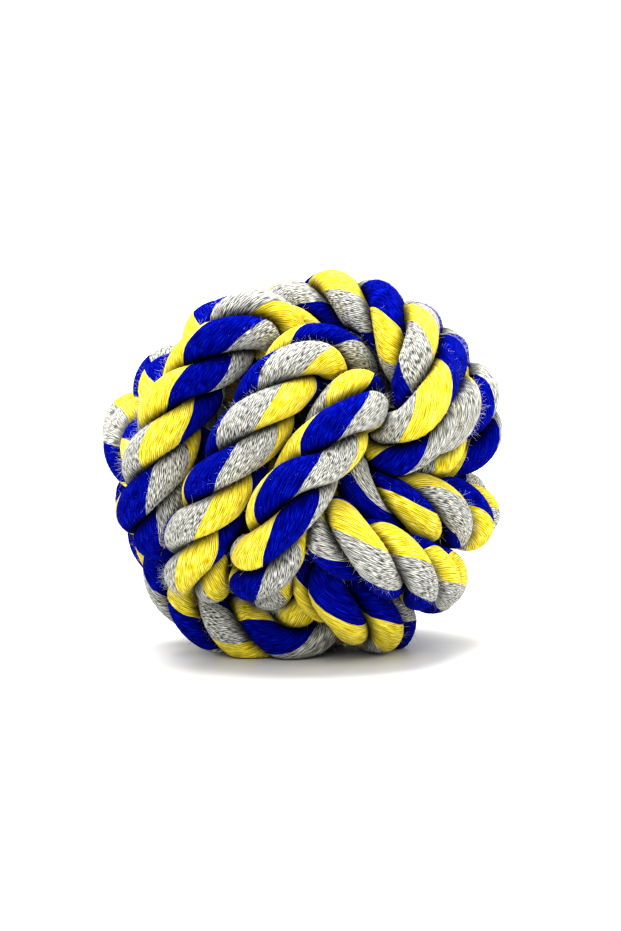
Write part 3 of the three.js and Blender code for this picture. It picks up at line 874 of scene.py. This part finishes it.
def yarn_material(colour, colours, spacing):
    """Dyed cotton yarn laid side by side: fine dark lines between the yarns, short streaks
    of darker and paler fibres along them, a soft bloom where the light grazes, and painted
    shade that darkens the dye towards near black deep in the creases of the knot. The lines
    are drawn coarser than the real 0.35 to 0.4 mm, so that they show in the render."""
    tones, grain, gap, dash, dash_share, sheen = YARN_LOOKS[colour]
    own, line, fibre = (getattr(colours, colour + part)[:] for part in ("", "_line", "_fibre"))
    material, add = new_material(f"{colour}_cotton_yarn")
    way = add("ShaderNodeUVMap", uv_map="yarn_way")[0]
    streaks = streaks_along(add, way, grain, detail=0.0)
    spun = add(RAMP, streaks, stops=[*zip(tones, (line, own, fibre))])[0]
    gaps = streaks_along(add, way, (GAP_BREADTH_SHARE * spacing / MM, GAP_LENGTH_MM))
    in_gap = add(RAMP, gaps, stops=[*zip(gap, (WHITE, BLACK))])[0]
    across = add("ShaderNodeSeparateXYZ", way)["X"]
    turned = add(MATH, across, 2 * math.pi * MM / spacing, operation="MULTIPLY")[0]
    wander = streaks_along(add, way, LINE_WANDER_MM)
    turned = add(MATH, wander, LINE_WANDER_RADIANS, turned, operation="MULTIPLY_ADD")[0]
    yarns = add(MATH, turned, operation="SINE")[0]
    edge = add(MATH, yarns, 0.5, 0.5, operation="MULTIPLY_ADD")[0]
    on_edge = add(RAMP, edge, stops=LINE_STOPS)[0]
    dashes = add(RAMP, streaks_along(add, way, dash), stops=DASH_STOPS)[0]
    dashed = add(MATH, on_edge, dashes, operation="MULTIPLY")[0]
    dashed = add(MATH, dashed, dash_share, operation="MULTIPLY")[0]
    in_line = add(MATH, in_gap, dashed, operation="MAXIMUM")[0]
    tone = add(RAMP, streaks_along(add, way, PATCH_MM), stops=PATCH_STOPS)[0]
    # Painted shade: the dye darkens towards near black deep in the creases of the knot
    crease = add("ShaderNodeAttribute", attribute_name="crease")["Fac"]
    stops = ((0, WHITE), (1, tuple(CREASE_PAINTED_SHADE[0] + CREASE_PAINTED_SHADE[1] * value for value in own)))
    shade = add(RAMP, crease, stops=stops)[0]
    dye = spun
    for factor, layer, blend in (
        (in_line, (*line, 1), "MIX"),
        (1.0, tone, "MULTIPLY"),
        (1.0, shade, "MULTIPLY"),
    ):
        inputs = dict(zip(MIX_INPUTS, (factor, dye, layer)))
        dye = add("ShaderNodeMix", inputs, data_type="RGBA", blend_type=blend)[MIX_COLOUR]
    height = add(MATH, streaks, STREAK_RELIEF, operation="MULTIPLY")[0]
    height = add(MATH, yarns, LINE_RELIEF, height, operation="MULTIPLY_ADD")[0]
    height = add(MATH, gaps, GAP_RELIEF, height, operation="MULTIPLY_ADD")[0]
    inputs = {"Height": height, "Strength": 0.9, "Distance": RELIEF_DEPTH}
    bloom = tuple(0.15 + 0.85 * value for value in fibre)
    inputs = {
        "Base Color": dye,
        "Roughness": 0.9,
        "Specular IOR Level": 0.0,
        "Sheen Weight": sheen,
        "Sheen Roughness": 0.4,
        "Sheen Tint": (*bloom, 1),
        "Normal": add("ShaderNodeBump", inputs)[0],
    }
    end_material(add, inputs)
    return material


def fibre_material(colour, colours):
    """Loose ends of cotton fibre: the yarn's own dye, paler where it wore off, in patches of
    2.5 mm, so that some ends catch the light and others are lost against the yarn."""
    own, fibre = (getattr(colours, colour + part)[:] for part in ("", "_fibre"))
    worn = tuple(0.12 + 0.75 * value for value in fibre)
    material, add = new_material(f"{colour}_cotton_fibre_ends")
    place = add("ShaderNodeTexCoord")["Object"]
    dye = add(NOISE, {"Vector": place, "Scale": 400.0, "Detail": 1.0})[0]
    tint = add(RAMP, dye, stops=((0.35, own), (0.5, fibre), (0.68, worn)))[0]
    end_material(add, {"Base Color": tint, "Roughness": 0.7, "Specular IOR Level": 0.3})
    return material


def thread_material(colour):
    """Undyed binding thread: off-white, with the slanting lines of its own twist, one in each
    0.35 mm."""
    material, add = new_material("undyed_binding_thread")
    place = add("ShaderNodeTexCoord")["Object"]
    inputs = {"Vector": place, "Scale": 900.0, "Distortion": 1.5, "Detail": 2.0}
    twist = add("ShaderNodeTexWave", inputs)["Fac"]
    stops = ((0, tuple(0.55 * value for value in colour)), (0.7, colour))
    inputs = {"Height": twist, "Strength": 0.6, "Distance": 0.1 * MM}
    inputs = {
        "Base Color": add(RAMP, twist, stops=stops)[0],
        "Roughness": 0.75,
        "Sheen Weight": 0.2,
        "Normal": add("ShaderNodeBump", inputs)[0],
    }
    end_material(add, inputs)
    return material


def floor_material(colour):
    """Matt white board with a fine tooth of 1.1 mm: an even tone and a soft shadow."""
    material, add = new_material("matt_white_floor")
    place = add("ShaderNodeTexCoord")["Object"]
    grain = add(NOISE, {"Vector": place, "Scale": 900.0, "Detail": 3.0})[0]
    inputs = {"Height": grain, "Strength": 0.1, "Distance": 0.05 * MM}
    inputs = {
        "Base Color": (*colour, 1),
        "Roughness": 0.45,
        "Specular IOR Level": 0.3,
        "Normal": add("ShaderNodeBump", inputs)[0],
    }
    end_material(add, inputs)
    return material


def finish_piece(name, mesh, node=None):
    """Turns a mesh into a named piece of the ball."""
    mesh.name = name
    piece = place_object(name, mesh)
    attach(piece, "root")
    if node:
        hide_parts(node)


class RopeBundles(bpy.types.Operator):
    """Twist nine bundles of yarn into three plies along the knot"""

    bl_idname = "object.rope_bundles"
    bl_label = "Yarn bundles"

    def execute(self, context):
        sizes = context.scene.rope_sizes
        rope = rope_now()
        columns = COLUMNS_PER_RIDGE * sizes.yarn_ridges
        relief = yarn_relief_tree()
        skin = math.pi * sizes.ply_breadth / len(COLOURS)
        for bundle, colour in enumerate(COLOURS):
            material = yarn_material(colour, context.scene.rope_colours, sizes.yarn_spacing)
            values = {
                "Material": material,
                "Skin": skin / MM,
                "Ridges": float(sizes.yarn_ridges),
                "Depth": sizes.yarn_ridge_depth,
            }
            for ply in range(PLY_COUNT):
                rings, creases = bundle_rings(rope, sizes, ply, bundle, columns)
                ways = np.zeros((*rings.shape[:2], 2))
                ways[:, :-1, 0] = np.linspace(0, skin, columns + 1)[None, :] / MM
                ways[:, -1, 0] = skin / (2 * MM)
                ways[:, :, 0] += PATTERN_STEP_MM * (len(COLOURS) * ply + bundle)
                ways[:, :, 1] = rope["along"][:, None] / MM
                # The edge in the ply's middle takes the full painted shade
                creases[:, -1] = 1
                name = f"ply_{ply + 1}_{colour}_bundle"
                mesh = mesh_from_tree(relief, tube_mesh(name, rings, ways, creases), values)
                finish_piece(name, mesh, f"ply_{ply + 1}")
        return {"FINISHED"}


class FibreEnds(bpy.types.Operator):
    """Stand loose fibre ends on the yarns that face out of the ball"""

    bl_idname = "object.rope_fibre_ends"
    bl_label = "Fibre ends"

    def execute(self, context):
        sizes = context.scene.rope_sizes
        middle = rope_now()["middle"]
        tree = fibre_ends_tree()
        for bundle, colour in enumerate(COLOURS):
            material = fibre_material(colour, context.scene.rope_colours)
            for ply in range(PLY_COUNT):
                values = {
                    "Material": material,
                    "Middle": tuple(middle),
                    "Reach": FIBRE_REACH_SHARE * sizes.rope_width,
                    "Density": sizes.fibres_per_cm2 * FIBRE_SHARES[colour] * CM2_PER_M2,
                    "Length": sizes.fibre_length,
                    "Thickness": sizes.fibre_thickness,
                    "Seed": len(COLOURS) * ply + bundle,
                }
                bundle_mesh = bpy.data.objects[f"ply_{ply + 1}_{colour}_bundle"].data
                mesh = mesh_from_tree(tree, bundle_mesh.copy(), values)
                finish_piece(f"ply_{ply + 1}_{colour}_fibre_ends", mesh)
        return {"FINISHED"}


class EndWhippings(bpy.types.Operator):
    """Wind thread round both ends of the rope"""

    bl_idname = "object.rope_end_whippings"
    bl_label = "End whippings"

    def execute(self, context):
        material = thread_material(context.scene.rope_colours.thread[:])
        tree = winding_tree()
        for name, (middle, axis, inner, outer) in zip(WHIPPINGS, rope_now()["whippings"]):
            thickness = outer - inner
            values = {
                "Material": material,
                "Radius": (inner + outer) / 2,
                "Length": BINDING_LENGTH - thickness,
                "Turns": (BINDING_LENGTH - thickness) / thickness,
                "Thickness": thickness,
            }
            mesh = mesh_from_tree(tree, bpy.data.meshes.new("start"), values)
            upright = Vector(axis).to_track_quat("Z", "Y").to_matrix().to_4x4()
            mesh.transform(Matrix.Translation(middle) @ upright)
            finish_piece(f"{name}_thread", mesh, name)
        return {"FINISHED"}


# The camera's angle and lens, and the knot's place and scale in the picture
CAMERA_ELEVATION_DEGREES = 7.05
CAMERA_AZIMUTH_DEGREES = -0.28
CAMERA_ROLL_DEGREES = 2.04
CAMERA_REACH = 20
LENS_LENGTH = 300
SENSOR_WIDTH = 36
IMAGE_SIZE_PX = (621, 931)
KNOT_PLACE_PX = (304, 459.5)
MM_PER_PX = 0.2615

# Each light of the studio: where it comes from, its strength, and its width in degrees
LIGHTS = {
    "overhead_light": ((-0.08, 0.3, 1), 5.5, 45),
    "front_light": ((0.02, -1, 0.9), 2.6, 70),
    "side_light": ((1, 0.1, 0.5), 1.1, 60),
}

# The room's own light: everywhere, and what the bright wall behind the ball adds
ROOM_LIGHT = 0.06
BACK_LIGHT = 1.2
BACK_LIGHT_FROM = (-0.15, 0.8, 0.58)
FLOOR_REACH = 3.0


class Studio(bpy.types.Operator):
    """Lay the floor and set the lights and the camera"""

    bl_idname = "scene.rope_studio"
    bl_label = "Studio"

    def execute(self, context):
        self.add_floor(context)
        self.add_camera(context)
        self.add_lights(context)
        return {"FINISHED"}

    def add_floor(self, context):
        mesh = bpy.data.meshes.new("floor")
        corners = [(-1, -1, 0), (1, -1, 0), (1, 1, 0), (-1, 1, 0)]
        mesh.from_pydata([Vector(corner) * FLOOR_REACH for corner in corners], [], [(0, 1, 2, 3)])
        mesh.materials.append(floor_material(context.scene.rope_colours.floor[:]))
        floor = place_object("floor", mesh)

    def add_camera(self, context):
        data = bpy.data.cameras.new("camera")
        data.lens = LENS_LENGTH
        data.sensor_width = SENSOR_WIDTH
        data.clip_end = CAMERA_REACH
        camera = place_object("camera", data)
        context.scene.camera = camera
        elevation = math.radians(CAMERA_ELEVATION_DEGREES)
        azimuth = math.radians(CAMERA_AZIMUTH_DEGREES)
        level = math.cos(elevation)
        back = Vector((math.sin(azimuth) * level, -math.cos(azimuth) * level, math.sin(elevation)))
        roll = Matrix.Rotation(-math.radians(CAMERA_ROLL_DEGREES), 3, "Z").to_quaternion()
        turn = back.to_track_quat("Z", "Y") @ roll
        right, up = turn @ Vector((1, 0, 0)), turn @ Vector((0, 1, 0))
        scale = MM_PER_PX * MM
        distance = LENS_LENGTH / SENSOR_WIDTH * max(IMAGE_SIZE_PX) * scale
        aside = (IMAGE_SIZE_PX[0] / 2 - KNOT_PLACE_PX[0]) * scale
        above = (KNOT_PLACE_PX[1] - IMAGE_SIZE_PX[1] / 2) * scale
        camera.rotation_mode = "QUATERNION"
        camera.rotation_quaternion = turn
        place = Vector(rope_now()["middle"]) + back * distance
        camera.location = place + right * aside + up * above

    def add_lights(self, context):
        world = bpy.data.worlds.new("studio")
        world.use_nodes = True
        tree = world.node_tree
        add = partial(add_node, tree)
        background = tree.nodes["Background"]
        background.inputs["Color"].default_value = (*WHITE, 1)
        way = add("ShaderNodeTexCoord")["Generated"]
        behind = add(VECTOR_MATH, way, BACK_LIGHT_FROM, operation="DOT_PRODUCT")["Value"]
        behind = add(MATH, behind, 0.0, operation="MAXIMUM")[0]
        light = add(MATH, behind, BACK_LIGHT, ROOM_LIGHT, operation="MULTIPLY_ADD")[0]
        # The camera sees plain white where nothing stands, as the photograph has it
        seen = add("ShaderNodeLightPath")["Is Camera Ray"]
        strength = add(MATH, seen, light, operation="MAXIMUM")[0]
        tree.links.new(strength, background.inputs["Strength"])
        context.scene.world = world
        for name, (direction, energy, degrees) in LIGHTS.items():
            data = bpy.data.lights.new(name, "SUN")
            data.energy = energy
            data.angle = math.radians(degrees)
            sun = place_object(name, data)
            sun.location = direction
            sun.rotation_mode = "QUATERNION"
            sun.rotation_quaternion = Vector(direction).to_track_quat("Z", "Y")
        context.scene.view_settings.view_transform = "Standard"
        context.scene.view_settings.look = "Medium High Contrast"


class RopePanel(bpy.types.Panel):
    """Sizes, colours and steps of the rope ball"""

    bl_idname = "VIEW3D_PT_rope_ball"
    bl_label = "Rope ball"
    bl_space_type = "VIEW_3D"
    bl_region_type = "UI"
    bl_category = "Rope ball"

    def draw(self, context):
        for group in (context.scene.rope_sizes, context.scene.rope_colours):
            for name in group.__annotations__:
                self.layout.prop(group, name)
        for operator in OPERATORS:
            self.layout.operator(operator.bl_idname)


OPERATORS = (Studio, RopeBundles, FibreEnds, EndWhippings)
CLASSES = (RopeSizes, RopeColours, *OPERATORS, RopePanel)


def register():
    for kind in CLASSES:
        bpy.utils.register_class(kind)
    bpy.types.Scene.rope_sizes = PointerProperty(type=RopeSizes)
    bpy.types.Scene.rope_colours = PointerProperty(type=RopeColours)


def unregister():
    del bpy.types.Scene.rope_colours
    del bpy.types.Scene.rope_sizes
    for kind in reversed(CLASSES):
        bpy.utils.unregister_class(kind)


def main():
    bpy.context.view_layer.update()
    register()
    bpy.ops.scene.rope_studio()
    bpy.ops.object.rope_bundles()
    bpy.ops.object.rope_fibre_ends()
    bpy.ops.object.rope_end_whippings()


if __name__ == "__main__":
    main()
